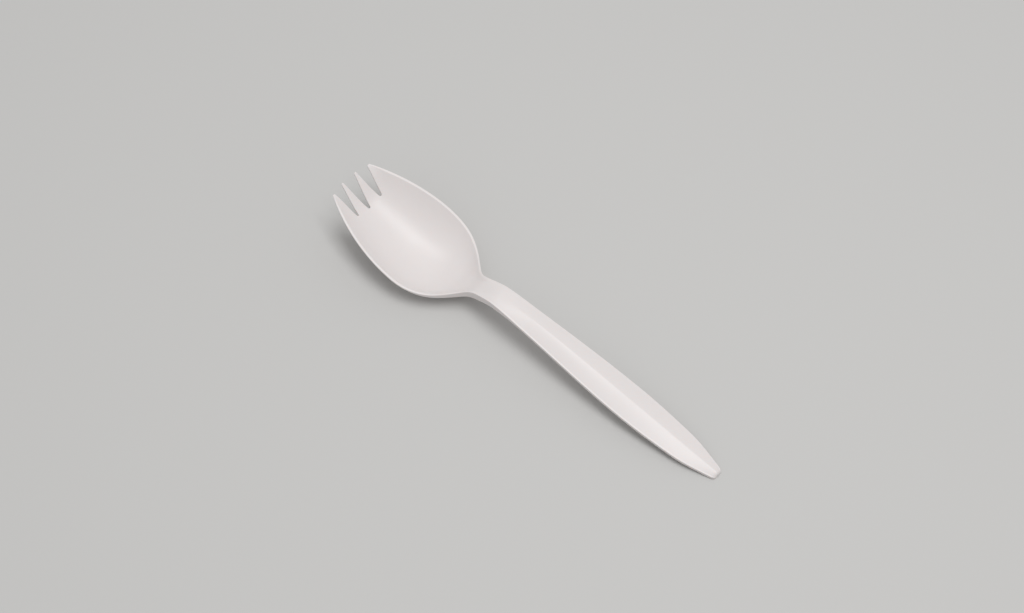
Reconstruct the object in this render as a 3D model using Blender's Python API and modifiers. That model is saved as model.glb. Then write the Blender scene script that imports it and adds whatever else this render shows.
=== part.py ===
"""Disposable plastic spork: a deep bowl, four short tines and a long leaf-shaped handle, moulded in one.

Metres, +Z up. The spork lies hollow side up along X, with the tines towards -X. It rests on the back of the
bowl and on the end of the handle, which has a low ridge along its top and is hollow underneath. The origin
is under the middle of the spork's length, on the surface that it rests on.
"""
import math
from bisect import bisect_right

import bmesh
import bpy

# Places along the spork, measured from the tine tips
LENGTH = 0.1612
SLOT_DEPTH = 0.0094
BOWL_WIDEST_AT = 0.031
BOWL_LOWEST_AT = 0.040
HEEL_AT = 0.0476
SHOULDER_AT = 0.054
NECK_AT = 0.0605
ARCH_AT = 0.069
GRIP_START_AT = 0.082

# Places on the handle, measured back from its end, and how much its top falls in the end's rounding
GRIP_WIDEST_FROM_END = 0.0372
GRIP_TAPER_FROM_END = 0.0152
END_ROUNDING = 0.0012
END_DROP = 0.0006

# Widths
BOWL_WIDTH = 0.0344
NECK_WIDTH = 0.0072
GRIP_START_WIDTH = 0.0096
GRIP_WIDTH = 0.0127
GRIP_TAPER_WIDTH = 0.0105
END_WIDTH = 0.0041

# The bowl's outline: two half ovals that meet at its widest place, blended into the neck
FRONT_OVAL_LENGTH = 0.0399
FRONT_OVAL_BEND = 1.8
FRONT_OVAL_FULLNESS = 0.736
REAR_OVAL_LENGTH = 0.0313
REAR_OVAL_BEND = 2.72
REAR_OVAL_FULLNESS = 1.75
NECK_BLEND = 0.0022

# Heights of the rim above the surface that the spork rests on
TIP_RIM = 0.0184
SLOT_RIM = 0.0158
BOWL_RIM = 0.0101
LOWEST_RIM = 0.0076
HEEL_RIM = 0.0064
SHOULDER_RIM = 0.0075
NECK_RIM = 0.0109
ARCH_RIM = 0.0130
GRIP_START_RIM = 0.0117
GRIP_RIM = 0.0059

# Heights of the hollow's centre line, its depth at the neck, and the handle's ridge above its rim
TIP_FLOOR = 0.0178
SLOT_FLOOR = 0.0089
BOWL_FLOOR = 0.0019
HEEL_FLOOR = 0.0026
SHOULDER_FLOOR = 0.0058
NECK_HOLLOW = 0.0006
ARCH_RIDGE = 0.0004
GRIP_START_RIDGE = 0.0012
GRIP_RIDGE = 0.0017
END_RIDGE = 0.0007

# Wall, flat land on the rim, depth of the side edge, and thickness of the neck's middle
WALL = 0.0011
TIP_LAND = 0.0002
BOWL_LAND = 0.0008
GRIP_LAND = 0.0004
BOWL_EDGE = 0.0006
HEEL_EDGE = 0.0013
SHOULDER_EDGE = 0.0022
NECK_EDGE = 0.0031
ARCH_EDGE = 0.0023
GRIP_EDGE = 0.0011
SHOULDER_THICKNESS = 0.0013
NECK_THICKNESS = 0.0019
ARCH_THICKNESS = 0.0015

# Form of the cross sections: 1 is straight from the middle to the rim, 2 is a parabola and more is fuller
BOWL_SECTION = 2.1
HEEL_SECTION = 2.8
OUTER_HEEL_SECTION = 3.4
GRIP_SECTION = 1.25

# Tines, each measured from the centre line
INNER_TIP_OFFSET = 0.0031
OUTER_TIP_OFFSET = 0.0084
OUTER_TIP_SETBACK = 0.0012
TIP_WIDTH = 0.0008
SIDE_SLOT_OFFSET = 0.0057
SLOT_END_RADIUS = 0.0005

# Fineness of the mesh
BOWL_STEPS = 42
GRIP_STEPS = 26
END_STEPS = 3
ACROSS_STEPS = 11
SLOT_END_STEPS = 8
SHARP_ANGLE = math.radians(40)

# How near the middle plane a vertex lies on it, and how far the slots' cutters reach past the tines
MERGE_DISTANCE = 0.00001
CUTTER_MARGIN = 0.004

PLASTIC_COLOUR = (0.76, 0.72, 0.71, 1.0)
PLASTIC_ROUGHNESS = 0.42


def smooth_curve(points):
    """A smooth curve through the points that never overshoots them, and is level beyond its ends."""
    places = [place for place, _ in points]
    values = [value for _, value in points]
    rises = [
        (values[i + 1] - values[i]) / (places[i + 1] - places[i])
        for i in range(len(points) - 1)
    ]
    slopes = [rises[0]]
    for before, after in zip(rises, rises[1:]):
        slopes.append(2 * before * after / (before + after) if before * after > 0 else 0.0)
    slopes.append(rises[-1])

    def at(place):
        place = min(max(place, places[0]), places[-1])
        i = min(bisect_right(places, place), len(points) - 1) - 1
        span = places[i + 1] - places[i]
        t = (place - places[i]) / span
        return (
            values[i] * (1 + 2 * t) * (1 - t) ** 2
            + slopes[i] * span * t * (1 - t) ** 2
            + values[i + 1] * t * t * (3 - 2 * t)
            + slopes[i + 1] * span * t * t * (t - 1)
        )

    return at


GRIP_WIDEST_AT = LENGTH - GRIP_WIDEST_FROM_END
GRIP_TAPER_AT = LENGTH - GRIP_TAPER_FROM_END
END_ROUND_AT = LENGTH - END_ROUNDING

grip_half_width = smooth_curve([
    (NECK_AT, NECK_WIDTH / 2),
    (GRIP_START_AT, GRIP_START_WIDTH / 2),
    (GRIP_WIDEST_AT, GRIP_WIDTH / 2),
    (GRIP_TAPER_AT, GRIP_TAPER_WIDTH / 2),
    (LENGTH, END_WIDTH / 2),
])
neck_blend = smooth_curve([
    (BOWL_WIDEST_AT, 0.0),
    (SHOULDER_AT, NECK_BLEND),
    (NECK_AT, NECK_BLEND),
    (GRIP_START_AT, 0.0),
])
rim_height = smooth_curve([
    (0.0, TIP_RIM),
    (SLOT_DEPTH, SLOT_RIM),
    (BOWL_WIDEST_AT, BOWL_RIM),
    (BOWL_LOWEST_AT, LOWEST_RIM),
    (HEEL_AT, HEEL_RIM),
    (SHOULDER_AT, SHOULDER_RIM),
    (NECK_AT, NECK_RIM),
    (ARCH_AT, ARCH_RIM),
    (GRIP_START_AT, GRIP_START_RIM),
    (GRIP_WIDEST_AT, GRIP_RIM),
    (LENGTH, GRIP_EDGE),
])
middle_height = smooth_curve([
    (0.0, TIP_FLOOR),
    (SLOT_DEPTH, SLOT_FLOOR),
    (BOWL_WIDEST_AT, BOWL_FLOOR),
    (BOWL_LOWEST_AT, WALL),
    (HEEL_AT, HEEL_FLOOR),
    (SHOULDER_AT, SHOULDER_FLOOR),
    (NECK_AT, NECK_RIM - NECK_HOLLOW),
    (ARCH_AT, ARCH_RIM + ARCH_RIDGE),
    (GRIP_START_AT, GRIP_START_RIM + GRIP_START_RIDGE),
    (GRIP_WIDEST_AT, GRIP_RIM + GRIP_RIDGE),
    (LENGTH, GRIP_EDGE + END_RIDGE),
])
middle_thickness = smooth_curve([
    (HEEL_AT, WALL),
    (SHOULDER_AT, SHOULDER_THICKNESS),
    (NECK_AT, NECK_THICKNESS),
    (ARCH_AT, ARCH_THICKNESS),
    (GRIP_START_AT, WALL),
    (GRIP_TAPER_AT, WALL),
    (LENGTH, GRIP_EDGE + END_RIDGE),
])
edge_depth = smooth_curve([
    (BOWL_LOWEST_AT, BOWL_EDGE),
    (HEEL_AT, HEEL_EDGE),
    (SHOULDER_AT, SHOULDER_EDGE),
    (NECK_AT, NECK_EDGE),
    (ARCH_AT, ARCH_EDGE),
    (GRIP_START_AT, GRIP_EDGE),
    (LENGTH, GRIP_EDGE),
])
rim_land = smooth_curve([
    (OUTER_TIP_SETBACK, TIP_LAND),
    (SLOT_DEPTH, BOWL_LAND),
    (SHOULDER_AT, BOWL_LAND),
    (GRIP_START_AT, GRIP_LAND),
])
inner_section = smooth_curve([
    (SLOT_DEPTH, BOWL_SECTION),
    (SHOULDER_AT, HEEL_SECTION),
    (GRIP_START_AT, GRIP_SECTION),
])
outer_section = smooth_curve([
    (SLOT_DEPTH, BOWL_SECTION),
    (SHOULDER_AT, OUTER_HEEL_SECTION),
    (NECK_AT, OUTER_HEEL_SECTION),
    (GRIP_START_AT, GRIP_SECTION),
])


def oval(place, length, bend, fullness):
    """Half width of a half oval, as a share of its widest, at a distance from its widest place."""
    reach = min(abs(place) / length, 1.0)
    return (1 - reach ** bend) ** fullness


def end_curve(place):
    """How far the end's rounding has turned down and in at a place: 0 where it starts and 1 at the end."""
    reach = min(max((place - END_ROUND_AT) / END_ROUNDING, 0.0), 1.0)
    return 1 - math.sqrt(1 - reach ** 2)


def half_width(place):
    """Half the spork's width at a place: the bowl's ovals, the neck, the handle and its round corners."""
    if place < BOWL_WIDEST_AT:
        bowl = oval(place - BOWL_WIDEST_AT, FRONT_OVAL_LENGTH, FRONT_OVAL_BEND, FRONT_OVAL_FULLNESS)
    else:
        bowl = oval(place - BOWL_WIDEST_AT, REAR_OVAL_LENGTH, REAR_OVAL_BEND, REAR_OVAL_FULLNESS)
    wide = bowl * BOWL_WIDTH / 2
    narrow = grip_half_width(place)
    blended = (wide + narrow + math.hypot(wide - narrow, neck_blend(place))) / 2
    return blended - END_ROUNDING * end_curve(place)


def top_height(place, offset):
    """Height of the upper surface at an offset from the middle: a hollow or ridge inside the flat rim."""
    share = min(offset / (half_width(place) - rim_land(place)), 1.0)
    rim = rim_height(place)
    height = rim + (middle_height(place) - rim) * (1 - share ** inner_section(place))
    return height - END_DROP * end_curve(place)


def under_height(place, offset):
    """Height of the underside at an offset from the centre line."""
    share = min(offset / half_width(place), 1.0)
    edge = rim_height(place) - edge_depth(place)
    middle = middle_height(place) - middle_thickness(place)
    return edge + (middle - edge) * (1 - share ** outer_section(place))


def spread(start, end, steps):
    """Evenly spaced places from start up to, and without, end."""
    return [start + (end - start) * step / steps for step in range(steps)]


def row_places():
    """Places of the mesh's rows: close in the bowl, wider in the handle and close at its end."""
    corner = [
        END_ROUND_AT + END_ROUNDING * math.sin(math.pi / 2 * step / END_STEPS)
        for step in range(END_STEPS + 1)
    ]
    return spread(0.0, ARCH_AT, BOWL_STEPS) + spread(ARCH_AT, END_ROUND_AT, GRIP_STEPS) + corner


def plastic():
    """Satin off-white plastic."""
    material = bpy.data.materials.new("white_plastic")
    material.use_nodes = True
    shader = material.node_tree.nodes["Principled BSDF"]
    shader.inputs["Base Color"].default_value = PLASTIC_COLOUR
    shader.inputs["Roughness"].default_value = PLASTIC_ROUGHNESS
    shader.inputs["Metallic"].default_value = 0.0
    return material


def half_blank():
    """One side of the spork before its slots are cut, open at the middle plane."""
    places = row_places()
    rows = len(places) - 1
    mesh = bmesh.new()
    bmesh.ops.create_grid(mesh, x_segments=rows, y_segments=ACROSS_STEPS, size=0.5)
    upper = list(mesh.verts)
    lower = [
        piece
        for piece in bmesh.ops.extrude_face_region(mesh, geom=list(mesh.faces), use_keep_orig=True)["geom"]
        if isinstance(piece, bmesh.types.BMVert)
    ]
    for verts, height in ((upper, top_height), (lower, under_height)):
        for vert in verts:
            place = places[round((vert.co.x + 0.5) * rows)]
            column = round((vert.co.y + 0.5) * ACROSS_STEPS)
            offset = half_width(place)
            if column < ACROSS_STEPS:
                offset = (offset - rim_land(place)) * column / (ACROSS_STEPS - 1)
            vert.co = (place - LENGTH / 2, offset, height(place, offset))
    middle = [face for face in mesh.faces if all(vert.co.y < MERGE_DISTANCE for vert in face.verts)]
    bmesh.ops.delete(mesh, geom=middle, context="FACES_ONLY")
    bmesh.ops.recalc_face_normals(mesh, faces=mesh.faces)
    return mesh


def slot_mouth(side):
    """The two corners of a slot's mouth, at the tips of the tines beside it, as (place, offset)."""
    half_tip = TIP_WIDTH / 2
    if side == 0:
        return (0.0, half_tip - INNER_TIP_OFFSET), (0.0, INNER_TIP_OFFSET - half_tip)
    return (0.0, INNER_TIP_OFFSET + half_tip), (OUTER_TIP_SETBACK, OUTER_TIP_OFFSET - half_tip)


def slot_plan(side):
    """Plan of a slot: its round end, its straight sides, and the space in front that it opens into."""
    centre = SIDE_SLOT_OFFSET if side else 0.0
    root = SLOT_DEPTH - SLOT_END_RADIUS
    near, far = slot_mouth(side)
    plan = []
    for step in range(SLOT_END_STEPS + 1):
        angle = -math.pi / 2 + math.pi * step / SLOT_END_STEPS
        plan.append((root + SLOT_END_RADIUS * math.cos(angle), centre + SLOT_END_RADIUS * math.sin(angle)))
    plan.append(far)
    if side:
        plan.append((far[0], far[1] + CUTTER_MARGIN))
    plan.append((-CUTTER_MARGIN, far[1] + CUTTER_MARGIN if side else far[1]))
    plan.append((-CUTTER_MARGIN, near[1]))
    plan.append(near)
    return [(place - LENGTH / 2, offset * (side or 1)) for place, offset in plan]


def slot_cutter(name, side, collection):
    """An upright block with a slot's plan, taller than the tines."""
    mesh = bmesh.new()
    plan = mesh.faces.new([mesh.verts.new((x, y, -CUTTER_MARGIN)) for x, y in slot_plan(side)])
    block = bmesh.ops.extrude_face_region(mesh, geom=[plan], use_keep_orig=True)["geom"]
    raised = [piece for piece in block if isinstance(piece, bmesh.types.BMVert)]
    bmesh.ops.translate(mesh, verts=raised, vec=(0.0, 0.0, TIP_RIM + 2 * CUTTER_MARGIN))
    bmesh.ops.recalc_face_normals(mesh, faces=mesh.faces)
    cutter = make_object(name, mesh, collection)
    cutter.hide_render = True
    cutter.display_type = "WIRE"
    return cutter


def make_object(name, mesh, collection):
    """A named object in a collection, made from a bmesh."""
    data = bpy.data.meshes.new(name)
    mesh.to_mesh(data)
    mesh.free()
    made = bpy.data.objects.new(name, data)
    collection.objects.link(made)
    return made


def make_collection(name):
    """A named collection in the scene."""
    collection = bpy.data.collections.new(name)
    bpy.context.scene.collection.children.link(collection)
    return collection


def make_spork(parts, cutters):
    """The whole spork: one side mirrored, with three slots cut between the four tines."""
    spork = make_object("spork", half_blank(), parts)
    spork.data.materials.append(plastic())
    spork.data.shade_smooth()
    spork.data.set_sharp_from_angle(angle=SHARP_ANGLE)
    mirror = spork.modifiers.new("other_side", "MIRROR")
    mirror.use_axis = (False, True, False)
    mirror.merge_threshold = MERGE_DISTANCE
    for name, side in (("slot_right", -1), ("slot_middle", 0), ("slot_left", 1)):
        cut = spork.modifiers.new(name, "BOOLEAN")
        cut.operation = "DIFFERENCE"
        cut.solver = "EXACT"
        cut.object = slot_cutter(name, side, cutters)
    return spork


def main():
    for old in list(bpy.data.objects):
        bpy.data.objects.remove(old)
    make_spork(make_collection("disposable_spork"), make_collection("cutters"))


main()
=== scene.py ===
"""Looks of a disposable plastic spork: one satin off-white moulding, hollow side up on a pale floor."""

import math
from bisect import bisect_right

import bmesh
import bpy
from mathutils import Matrix, Vector


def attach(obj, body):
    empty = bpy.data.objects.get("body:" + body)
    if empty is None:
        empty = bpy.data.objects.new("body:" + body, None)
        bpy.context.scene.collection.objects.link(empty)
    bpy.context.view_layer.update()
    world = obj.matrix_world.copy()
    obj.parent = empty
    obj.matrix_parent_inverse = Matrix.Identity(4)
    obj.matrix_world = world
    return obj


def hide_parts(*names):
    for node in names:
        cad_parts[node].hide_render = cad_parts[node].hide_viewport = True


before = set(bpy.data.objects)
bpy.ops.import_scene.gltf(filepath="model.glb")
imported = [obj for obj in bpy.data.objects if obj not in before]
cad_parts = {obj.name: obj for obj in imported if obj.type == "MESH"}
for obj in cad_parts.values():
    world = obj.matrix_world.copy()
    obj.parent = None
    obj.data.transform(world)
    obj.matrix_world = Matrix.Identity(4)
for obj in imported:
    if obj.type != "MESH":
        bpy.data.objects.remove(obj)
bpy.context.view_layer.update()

# Places along the spork, measured from the tine tips, in metres
LENGTH = 0.1612
SLOT_DEPTH = 0.0094
BOWL_WIDEST_AT = 0.031
BOWL_LOWEST_AT = 0.040
HEEL_AT = 0.0476
SHOULDER_AT = 0.054
NECK_AT = 0.0605
ARCH_AT = 0.069
GRIP_START_AT = 0.082

# Places on the handle, measured back from its end, and how much its top falls in the end's rounding
GRIP_WIDEST_FROM_END = 0.0372
GRIP_TAPER_FROM_END = 0.0152
END_ROUNDING = 0.0012
END_DROP = 0.0006

# Widths
BOWL_WIDTH = 0.0344
NECK_WIDTH = 0.0072
GRIP_START_WIDTH = 0.0096
GRIP_WIDTH = 0.0127
GRIP_TAPER_WIDTH = 0.0105
END_WIDTH = 0.0041

# The bowl's outline: two half ovals that meet at its widest place, blended into the neck
FRONT_OVAL_LENGTH = 0.0399
FRONT_OVAL_BEND = 1.8
FRONT_OVAL_FULLNESS = 0.736
REAR_OVAL_LENGTH = 0.0313
REAR_OVAL_BEND = 2.72
REAR_OVAL_FULLNESS = 1.75
NECK_BLEND = 0.0022

# Heights of the rim above the surface that the spork rests on
TIP_RIM = 0.0184
SLOT_RIM = 0.0158
BOWL_RIM = 0.0101
LOWEST_RIM = 0.0076
HEEL_RIM = 0.0064
SHOULDER_RIM = 0.0075
NECK_RIM = 0.0109
ARCH_RIM = 0.0130
GRIP_START_RIM = 0.0117
GRIP_RIM = 0.0059

# Heights of the hollow's centre line, its depth at the neck, and the handle's ridge above its rim
TIP_FLOOR = 0.0178
SLOT_FLOOR = 0.0089
BOWL_FLOOR = 0.0019
HEEL_FLOOR = 0.0026
SHOULDER_FLOOR = 0.0058
NECK_HOLLOW = 0.0006
ARCH_RIDGE = 0.0004
GRIP_START_RIDGE = 0.0012
GRIP_RIDGE = 0.0017
END_RIDGE = 0.0007

# Wall, flat land on the rim, depth of the side edge, and thickness of the neck's middle
WALL = 0.0011
TIP_LAND = 0.0002
BOWL_LAND = 0.0008
GRIP_LAND = 0.0004
BOWL_EDGE = 0.0006
HEEL_EDGE = 0.0013
SHOULDER_EDGE = 0.0022
NECK_EDGE = 0.0031
ARCH_EDGE = 0.0023
GRIP_EDGE = 0.0011
SHOULDER_THICKNESS = 0.0013
NECK_THICKNESS = 0.0019
ARCH_THICKNESS = 0.0015

# Form of the cross sections: 1 is straight from the middle to the rim, 2 is a parabola and more is fuller
BOWL_SECTION = 2.1
HEEL_SECTION = 2.8
OUTER_HEEL_SECTION = 3.4
GRIP_SECTION = 1.25

# Tines, each measured from the centre line
INNER_TIP_OFFSET = 0.0031
OUTER_TIP_OFFSET = 0.0084
OUTER_TIP_SETBACK = 0.0012
TIP_WIDTH = 0.0008
SIDE_SLOT_OFFSET = 0.0057
SLOT_END_RADIUS = 0.0005

# Rounding of every edge of the moulding
EDGE_ROUNDING = 0.00022
EDGE_SEGMENTS = 2
SHARP_ANGLE = math.radians(35)
SMOOTHING_LEVELS = 1

# Rows of the surface along the spork: the tines, the bowl, the handle and its round corners
TINE_STEPS = 9
BOWL_STEPS = 58
GRIP_STEPS = 48
END_STEPS = 3

# Columns of the surface from the middle outwards: half a slot, a tine, a slot, a tine and the rim's land
MIDDLE_SLOT_COLUMNS = 3
INNER_TINE_COLUMNS = 7
SIDE_SLOT_COLUMNS = 6
OUTER_TINE_COLUMNS = 8
LAND_COLUMNS = 1

# Vertices nearer than this to each other or to the middle plane are taken as one or as on it
MERGE_DISTANCE = 1e-6

# Camera: where it looks, from which side, how high and how far
PHOTO_WIDTH = 1024
VIEW_POINT = Vector((-0.01195, 0.00592, 0.0))
VIEW_YAW = math.radians(41.18)
VIEW_ELEVATION = math.radians(56.0)
VIEW_DISTANCE = 0.7315
PIXELS_PER_METRE = 2975.0
SENSOR_WIDTH = 36.0

# Directions in the photograph, level with the floor
VIEW_RIGHT = Vector((math.cos(VIEW_YAW), math.sin(VIEW_YAW), 0.0))
VIEW_BACK = Vector((-math.sin(VIEW_YAW), math.cos(VIEW_YAW), 0.0))
UP = Vector((0.0, 0.0, 1.0))

# Light: an even sky, and a long soft box overhead, a little to the right and turned with the bowl's sheen
SKY_STRENGTH = 0.55
SOFT_BOX_WIDTH = 0.36
SOFT_BOX_LENGTH = 0.8
SOFT_BOX_POWER = 4.35
SOFT_BOX_DISTANCE = 0.9
SOFT_BOX_LEAN_RIGHT = 0.13
SOFT_BOX_LEAN_BACK = -0.06
SOFT_BOX_TURN = math.radians(24)

# Floor
FLOOR_HALF_SIZE = 2.0
FLOOR_COLOUR = (0.56, 0.555, 0.545, 1.0)
FLOOR_ROUGHNESS = 0.9
FLOOR_SHINE = 0.2

# Plastic: two near shades in soft clouds, a little light through its thin wall, and a satin finish
PALE_SHADE = (0.765, 0.722, 0.712, 1.0)
DEEP_SHADE = (0.745, 0.706, 0.698, 1.0)
PLASTIC_IOR = 1.46
GLOW_SHARE = 0.15
GLOW_DEPTH = 0.0008
GLOW_REACH = (1.0, 0.8, 0.7)
CLOUD_SCALE = 38.0
CLOUD_DETAIL = 3.0
CLOUD_LOW = 0.3
CLOUD_HIGH = 0.7
ROUGHNESS_LOW = 0.31
ROUGHNESS_HIGH = 0.37

# The fine skin of a blasted mould
SKIN_SCALE = 5200.0
SKIN_DETAIL = 2.0
SKIN_STRENGTH = 0.12
SKIN_DEPTH = 0.00003


def smooth_curve(points):
    """A smooth curve through the points that never overshoots them, and is level beyond its ends."""
    places = [place for place, _ in points]
    values = [value for _, value in points]
    rises = [
        (values[i + 1] - values[i]) / (places[i + 1] - places[i])
        for i in range(len(points) - 1)
    ]
    slopes = [rises[0]]
    for before, after in zip(rises, rises[1:]):
        slopes.append(2 * before * after / (before + after) if before * after > 0 else 0.0)
    slopes.append(rises[-1])

    def at(place):
        place = min(max(place, places[0]), places[-1])
        i = min(bisect_right(places, place), len(points) - 1) - 1
        span = places[i + 1] - places[i]
        t = (place - places[i]) / span
        return (
            values[i] * (1 + 2 * t) * (1 - t) ** 2
            + slopes[i] * span * t * (1 - t) ** 2
            + values[i + 1] * t * t * (3 - 2 * t)
            + slopes[i + 1] * span * t * t * (t - 1)
        )

    return at


GRIP_WIDEST_AT = LENGTH - GRIP_WIDEST_FROM_END
GRIP_TAPER_AT = LENGTH - GRIP_TAPER_FROM_END
END_ROUND_AT = LENGTH - END_ROUNDING
SLOT_ROOT_AT = SLOT_DEPTH - SLOT_END_RADIUS

grip_half_width = smooth_curve([
    (NECK_AT, NECK_WIDTH / 2),
    (GRIP_START_AT, GRIP_START_WIDTH / 2),
    (GRIP_WIDEST_AT, GRIP_WIDTH / 2),
    (GRIP_TAPER_AT, GRIP_TAPER_WIDTH / 2),
    (LENGTH, END_WIDTH / 2),
])
neck_blend = smooth_curve([
    (BOWL_WIDEST_AT, 0.0),
    (SHOULDER_AT, NECK_BLEND),
    (NECK_AT, NECK_BLEND),
    (GRIP_START_AT, 0.0),
])
rim_height = smooth_curve([
    (0.0, TIP_RIM),
    (SLOT_DEPTH, SLOT_RIM),
    (BOWL_WIDEST_AT, BOWL_RIM),
    (BOWL_LOWEST_AT, LOWEST_RIM),
    (HEEL_AT, HEEL_RIM),
    (SHOULDER_AT, SHOULDER_RIM),
    (NECK_AT, NECK_RIM),
    (ARCH_AT, ARCH_RIM),
    (GRIP_START_AT, GRIP_START_RIM),
    (GRIP_WIDEST_AT, GRIP_RIM),
    (LENGTH, GRIP_EDGE),
])
middle_height = smooth_curve([
    (0.0, TIP_FLOOR),
    (SLOT_DEPTH, SLOT_FLOOR),
    (BOWL_WIDEST_AT, BOWL_FLOOR),
    (BOWL_LOWEST_AT, WALL),
    (HEEL_AT, HEEL_FLOOR),
    (SHOULDER_AT, SHOULDER_FLOOR),
    (NECK_AT, NECK_RIM - NECK_HOLLOW),
    (ARCH_AT, ARCH_RIM + ARCH_RIDGE),
    (GRIP_START_AT, GRIP_START_RIM + GRIP_START_RIDGE),
    (GRIP_WIDEST_AT, GRIP_RIM + GRIP_RIDGE),
    (LENGTH, GRIP_EDGE + END_RIDGE),
])
middle_thickness = smooth_curve([
    (HEEL_AT, WALL),
    (SHOULDER_AT, SHOULDER_THICKNESS),
    (NECK_AT, NECK_THICKNESS),
    (ARCH_AT, ARCH_THICKNESS),
    (GRIP_START_AT, WALL),
    (GRIP_TAPER_AT, WALL),
    (LENGTH, GRIP_EDGE + END_RIDGE),
])
edge_depth = smooth_curve([
    (BOWL_LOWEST_AT, BOWL_EDGE),
    (HEEL_AT, HEEL_EDGE),
    (SHOULDER_AT, SHOULDER_EDGE),
    (NECK_AT, NECK_EDGE),
    (ARCH_AT, ARCH_EDGE),
    (GRIP_START_AT, GRIP_EDGE),
    (LENGTH, GRIP_EDGE),
])
rim_land = smooth_curve([
    (OUTER_TIP_SETBACK, TIP_LAND),
    (SLOT_DEPTH, BOWL_LAND),
    (SHOULDER_AT, BOWL_LAND),
    (GRIP_START_AT, GRIP_LAND),
])
inner_section = smooth_curve([
    (SLOT_DEPTH, BOWL_SECTION),
    (SHOULDER_AT, HEEL_SECTION),
    (GRIP_START_AT, GRIP_SECTION),
])
outer_section = smooth_curve([
    (SLOT_DEPTH, BOWL_SECTION),
    (SHOULDER_AT, OUTER_HEEL_SECTION),
    (NECK_AT, OUTER_HEEL_SECTION),
    (GRIP_START_AT, GRIP_SECTION),
])
column_spread = smooth_curve([(SLOT_DEPTH, 0.0), (BOWL_WIDEST_AT, 1.0)])


def oval(place, length, bend, fullness):
    """Half width of a half oval, as a share of its widest, at a distance from its widest place."""
    reach = min(abs(place) / length, 1.0)
    return (1 - reach ** bend) ** fullness


def end_curve(place):
    """How far the end's rounding has turned down and in at a place: 0 where it starts and 1 at the end."""
    reach = min(max((place - END_ROUND_AT) / END_ROUNDING, 0.0), 1.0)
    return 1 - math.sqrt(1 - reach ** 2)


def half_width(place):
    """Half the spork's width at a place: the bowl's ovals, the neck, the handle and its round corners."""
    if place < BOWL_WIDEST_AT:
        bowl = oval(place - BOWL_WIDEST_AT, FRONT_OVAL_LENGTH, FRONT_OVAL_BEND, FRONT_OVAL_FULLNESS)
    else:
        bowl = oval(place - BOWL_WIDEST_AT, REAR_OVAL_LENGTH, REAR_OVAL_BEND, REAR_OVAL_FULLNESS)
    wide = bowl * BOWL_WIDTH / 2
    narrow = grip_half_width(place)
    blended = (wide + narrow + math.hypot(wide - narrow, neck_blend(place))) / 2
    return blended - END_ROUNDING * end_curve(place)


def top_height(place, offset):
    """Height of the upper surface at an offset from the middle: a hollow or ridge inside the flat rim."""
    share = min(offset / (half_width(place) - rim_land(place)), 1.0)
    rim = rim_height(place)
    height = rim + (middle_height(place) - rim) * (1 - share ** inner_section(place))
    return height - END_DROP * end_curve(place)


def under_height(place, offset):
    """Height of the underside at an offset from the centre line."""
    share = min(offset / half_width(place), 1.0)
    edge = rim_height(place) - edge_depth(place)
    middle = middle_height(place) - middle_thickness(place)
    return edge + (middle - edge) * (1 - share ** outer_section(place))


def between(start, end, share):
    """The value a share of the way from start to end."""
    return start + (end - start) * share


def row_places():
    """Places of the rows along the spork, from the tips to the end."""
    tines = [SLOT_ROOT_AT * step / TINE_STEPS for step in range(TINE_STEPS + 1)]
    bowl = [between(SLOT_DEPTH + SLOT_END_RADIUS, ARCH_AT, step / BOWL_STEPS) for step in range(BOWL_STEPS)]
    grip = [between(ARCH_AT, END_ROUND_AT, step / GRIP_STEPS) for step in range(GRIP_STEPS)]
    corner = [
        END_ROUND_AT + END_ROUNDING * math.sin(math.pi / 2 * step / END_STEPS)
        for step in range(END_STEPS + 1)
    ]
    return tines + bowl + grip + corner


MIDDLE_SLOT, INNER_TINE, SIDE_SLOT, OUTER_TINE, LAND = range(5)
COLUMN_COUNTS = (
    MIDDLE_SLOT_COLUMNS,
    INNER_TINE_COLUMNS,
    SIDE_SLOT_COLUMNS,
    OUTER_TINE_COLUMNS,
    LAND_COLUMNS,
)
ALL_COLUMNS = sum(COLUMN_COUNTS)
INNER_COLUMNS = ALL_COLUMNS - LAND_COLUMNS


def column_group(column):
    """The group of columns that a column lies in or ends, and the share of the group that it has passed."""
    start = 0
    for group, count in enumerate(COLUMN_COUNTS):
        if column <= start + count:
            return group, (column - start) / count
        start += count


def group_edges(along):
    """Offsets that part the groups of columns: along is 0 at the tines' tips and 1 at the slots' ends."""
    half_tip = TIP_WIDTH / 2
    place = between(OUTER_TIP_SETBACK, SLOT_ROOT_AT, along)
    return (
        0.0,
        between(INNER_TIP_OFFSET - half_tip, SLOT_END_RADIUS, along),
        between(INNER_TIP_OFFSET + half_tip, SIDE_SLOT_OFFSET - SLOT_END_RADIUS, along),
        between(OUTER_TIP_OFFSET - half_tip, SIDE_SLOT_OFFSET + SLOT_END_RADIUS, along),
        half_width(place) - rim_land(place),
        half_width(place),
    )


def slot_end_point(centre, angle):
    """A point on the round end of a slot, as (place, offset)."""
    return SLOT_ROOT_AT + SLOT_END_RADIUS * math.cos(angle), centre + SLOT_END_RADIUS * math.sin(angle)


def tine_point(along, group, passed):
    """Where a vertex of the tines lies in plan, as (place, offset)."""
    if along == 1.0 and group == MIDDLE_SLOT:
        return slot_end_point(0.0, math.pi / 2 * passed)
    if along == 1.0 and group == SIDE_SLOT:
        return slot_end_point(SIDE_SLOT_OFFSET, math.pi * (passed - 0.5))
    setback = {SIDE_SLOT: passed, OUTER_TINE: 1.0, LAND: 1.0}.get(group, 0.0) * OUTER_TIP_SETBACK
    edges = group_edges(along)
    return between(setback, SLOT_ROOT_AT, along), between(edges[group], edges[group + 1], passed)


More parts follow.
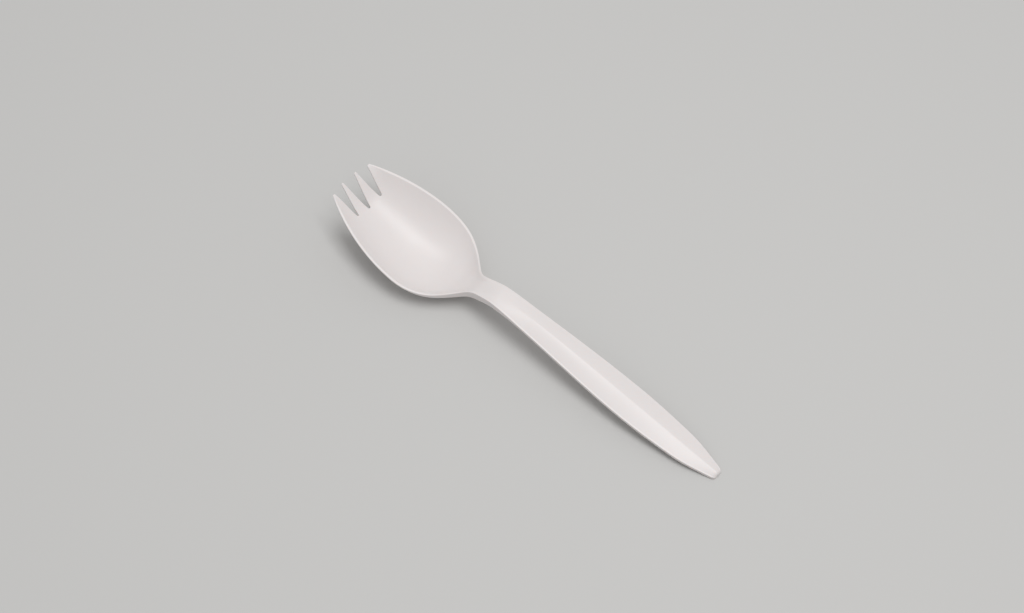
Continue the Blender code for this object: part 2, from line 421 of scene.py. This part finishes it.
def plan_point(row, place, column):
    """Where a vertex of the surface lies in plan, as (place, offset)."""
    group, passed = column_group(column)
    if row <= TINE_STEPS:
        return tine_point(row / TINE_STEPS, group, passed)
    inner = half_width(place) - rim_land(place)
    if group == LAND:
        return place, between(inner, half_width(place), passed)
    edges = group_edges(1.0)
    as_on_tines = between(edges[group], edges[group + 1], passed) / edges[LAND]
    return place, inner * between(as_on_tines, column / INNER_COLUMNS, column_spread(place))


def in_slot(face, row_of, column_of):
    """Whether a face of the grid lies in a slot between the tines."""
    row = min(row_of[vert] for vert in face.verts)
    group, _ = column_group(max(column_of[vert] for vert in face.verts))
    return row < TINE_STEPS and group in (MIDDLE_SLOT, SIDE_SLOT)


def half_moulding():
    """One side of the spork, open at the middle plane, with its tines' and slots' edges in the mesh."""
    places = row_places()
    rows = len(places) - 1
    mesh = bmesh.new()
    bmesh.ops.create_grid(mesh, x_segments=rows, y_segments=ALL_COLUMNS, size=0.5)
    row_of = {vert: round((vert.co.x + 0.5) * rows) for vert in mesh.verts}
    column_of = {vert: round((vert.co.y + 0.5) * ALL_COLUMNS) for vert in mesh.verts}
    slots = [face for face in mesh.faces if in_slot(face, row_of, column_of)]
    plan = {
        vert: plan_point(row_of[vert], places[row_of[vert]], column_of[vert])
        for vert in mesh.verts
    }
    for vert, (place, offset) in plan.items():
        vert.co = (place, offset, 0.0)
    bmesh.ops.delete(mesh, geom=slots, context="FACES")
    upper = list(mesh.verts)
    block = bmesh.ops.extrude_face_region(mesh, geom=list(mesh.faces), use_keep_orig=True)["geom"]
    lower = [piece for piece in block if isinstance(piece, bmesh.types.BMVert)]
    for verts, height in ((upper, top_height), (lower, under_height)):
        for vert in verts:
            place, offset = vert.co.x, vert.co.y
            vert.co = (place - LENGTH / 2, offset, height(place, offset))
    middle = [face for face in mesh.faces if all(abs(vert.co.y) < MERGE_DISTANCE for vert in face.verts)]
    bmesh.ops.delete(mesh, geom=middle, context="FACES_ONLY")
    return mesh


def make_spork():
    """The whole moulding, with every edge rounded as the mould rounds it."""
    mesh = half_moulding()
    half = list(mesh.verts) + list(mesh.edges) + list(mesh.faces)
    bmesh.ops.mirror(mesh, geom=half, axis="Y", merge_dist=MERGE_DISTANCE)
    bmesh.ops.remove_doubles(mesh, verts=mesh.verts, dist=MERGE_DISTANCE)
    bmesh.ops.recalc_face_normals(mesh, faces=mesh.faces)
    sharp = [edge for edge in mesh.edges if edge.calc_face_angle(0.0) > SHARP_ANGLE]
    bmesh.ops.bevel(
        mesh, geom=sharp, offset=EDGE_ROUNDING, offset_type="OFFSET", affect="EDGES",
        segments=EDGE_SEGMENTS, profile=0.5, material=-1, clamp_overlap=True,
    )
    for face in mesh.faces:
        face.smooth = True
    data = bpy.data.meshes.new("spork_moulding")
    mesh.to_mesh(data)
    mesh.free()
    spork = bpy.data.objects.new("spork_moulding", data)
    bpy.context.scene.collection.objects.link(spork)
    smooth = spork.modifiers.new("smooth", "SUBSURF")
    smooth.levels = SMOOTHING_LEVELS
    smooth.render_levels = SMOOTHING_LEVELS
    spork.data.materials.append(satin_plastic())
    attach(spork, "root")
    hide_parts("spork")
    return spork


def satin_plastic():
    """Warm off-white plastic with the fine satin skin of a blasted mould."""
    material = bpy.data.materials.new("satin_off_white_plastic")
    material.use_nodes = True
    nodes = material.node_tree.nodes
    links = material.node_tree.links
    shader = nodes["Principled BSDF"]
    shader.inputs["Metallic"].default_value = 0.0
    shader.inputs["IOR"].default_value = PLASTIC_IOR
    shader.inputs["Subsurface Weight"].default_value = GLOW_SHARE
    shader.inputs["Subsurface Radius"].default_value = GLOW_REACH
    shader.inputs["Subsurface Scale"].default_value = GLOW_DEPTH

    place = nodes.new("ShaderNodeTexCoord")

    cloud = nodes.new("ShaderNodeTexNoise")
    cloud.inputs["Scale"].default_value = CLOUD_SCALE
    cloud.inputs["Detail"].default_value = CLOUD_DETAIL
    links.new(place.outputs["Object"], cloud.inputs["Vector"])
    tint = nodes.new("ShaderNodeMix")
    tint.data_type = "RGBA"
    tint.inputs["A"].default_value = PALE_SHADE
    tint.inputs["B"].default_value = DEEP_SHADE
    links.new(cloud.outputs["Fac"], tint.inputs["Factor"])
    links.new(tint.outputs["Result"], shader.inputs["Base Color"])

    gloss = nodes.new("ShaderNodeMapRange")
    gloss.inputs["From Min"].default_value = CLOUD_LOW
    gloss.inputs["From Max"].default_value = CLOUD_HIGH
    gloss.inputs["To Min"].default_value = ROUGHNESS_LOW
    gloss.inputs["To Max"].default_value = ROUGHNESS_HIGH
    links.new(cloud.outputs["Fac"], gloss.inputs["Value"])
    links.new(gloss.outputs["Result"], shader.inputs["Roughness"])

    skin = nodes.new("ShaderNodeTexNoise")
    skin.inputs["Scale"].default_value = SKIN_SCALE
    skin.inputs["Detail"].default_value = SKIN_DETAIL
    links.new(place.outputs["Object"], skin.inputs["Vector"])
    bump = nodes.new("ShaderNodeBump")
    bump.inputs["Strength"].default_value = SKIN_STRENGTH
    bump.inputs["Distance"].default_value = SKIN_DEPTH
    links.new(skin.outputs["Fac"], bump.inputs["Height"])
    links.new(bump.outputs["Normal"], shader.inputs["Normal"])
    return material


def make_camera():
    """The photograph's viewing angle."""
    data = bpy.data.cameras.new("camera")
    data.sensor_width = SENSOR_WIDTH
    data.lens = SENSOR_WIDTH * PIXELS_PER_METRE * VIEW_DISTANCE / PHOTO_WIDTH
    camera = bpy.data.objects.new("camera", data)
    bpy.context.scene.collection.objects.link(camera)
    away = UP * math.sin(VIEW_ELEVATION) - VIEW_BACK * math.cos(VIEW_ELEVATION)
    camera.location = VIEW_POINT + away * VIEW_DISTANCE
    camera.rotation_euler = (math.pi / 2 - VIEW_ELEVATION, 0.0, VIEW_YAW)
    bpy.context.scene.camera = camera


def make_floor():
    """A plain pale floor."""
    mesh = bmesh.new()
    bmesh.ops.create_grid(mesh, x_segments=1, y_segments=1, size=FLOOR_HALF_SIZE)
    data = bpy.data.meshes.new("floor")
    mesh.to_mesh(data)
    mesh.free()
    floor = bpy.data.objects.new("floor", data)
    bpy.context.scene.collection.objects.link(floor)
    material = bpy.data.materials.new("pale_floor")
    material.use_nodes = True
    shader = material.node_tree.nodes["Principled BSDF"]
    shader.inputs["Base Color"].default_value = FLOOR_COLOUR
    shader.inputs["Roughness"].default_value = FLOOR_ROUGHNESS
    shader.inputs["Specular IOR Level"].default_value = FLOOR_SHINE
    floor.data.materials.append(material)


def make_lights():
    """A long soft box overhead, and an even sky."""
    world = bpy.data.worlds.new("studio")
    world.use_nodes = True
    world.node_tree.nodes["Background"].inputs["Color"].default_value = (1.0, 1.0, 1.0, 1.0)
    world.node_tree.nodes["Background"].inputs["Strength"].default_value = SKY_STRENGTH
    bpy.context.scene.world = world
    data = bpy.data.lights.new("soft_box", "AREA")
    data.shape = "RECTANGLE"
    data.size = SOFT_BOX_WIDTH
    data.size_y = SOFT_BOX_LENGTH
    data.energy = SOFT_BOX_POWER
    lamp = bpy.data.objects.new("soft_box", data)
    bpy.context.scene.collection.objects.link(lamp)
    up = (UP + VIEW_RIGHT * SOFT_BOX_LEAN_RIGHT + VIEW_BACK * SOFT_BOX_LEAN_BACK).normalized()
    level = VIEW_BACK * math.cos(SOFT_BOX_TURN) - VIEW_RIGHT * math.sin(SOFT_BOX_TURN)
    along = (level - up * level.dot(up)).normalized()
    lamp.location = VIEW_POINT + up * SOFT_BOX_DISTANCE
    lamp.rotation_euler = Matrix((along.cross(up), along, up)).transposed().to_euler()


make_camera()
make_spork()
make_floor()
make_lights()
bpy.context.scene.view_settings.view_transform = "Standard"
